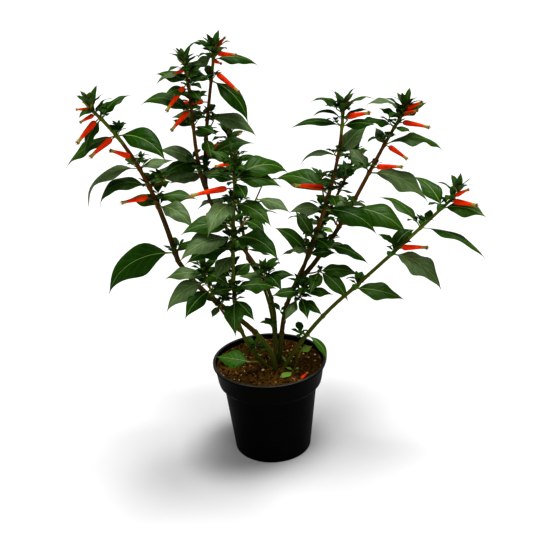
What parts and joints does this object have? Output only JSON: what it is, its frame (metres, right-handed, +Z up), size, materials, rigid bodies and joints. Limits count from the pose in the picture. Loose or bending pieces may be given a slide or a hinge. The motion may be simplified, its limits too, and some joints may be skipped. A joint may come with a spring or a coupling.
{
  "type": "potted flowering shrub",
  "caption": "Cuphea plant in bloom with opposite pointed leaves and tubular red flowers on long bare-footed stems, in a round black plastic nursery pot.",
  "frame": {"origin": "centre of the pot's flat underside, which the object stands on", "axes": "+Z up; +X towards the right-hand shoots and -Y towards the front of the plant"},
  "size_m": [0.4166, 0.2941, 0.468],
  "materials": {
    "pot_plastic": "satin black moulded plastic",
    "soil": "damp crumbly compost",
    "stem": "thin brown bark, finely ribbed",
    "foliage": "soft dark green leaves with a slight sheen"
  },
  "bodies": {
    "root": {"pot": "pot_plastic", "soil": "soil", "stem_front": "stem", "stem_left": "stem", "stem_back_left": "stem", "stem_right": "stem", "stem_far_right": "stem", "stem_rear": "stem", "stem_rear_right": "stem", "leaves_front": "foliage", "leaves_low_left": "foliage", "leaves_left": "foliage", "leaves_back_left": "foliage", "leaves_tall": "foliage", "leaves_centre": "foliage", "leaves_right": "foliage", "leaves_back_right": "foliage", "leaves_low_right": "foliage", "leaves_far_right": "foliage", "leaves_rim_right": "foliage", "leaves_rear": "foliage", "leaves_rear_right": "foliage", "leaves_foot": "foliage", "leaves_foot_right": "foliage"}
  },
  "joints": []
}
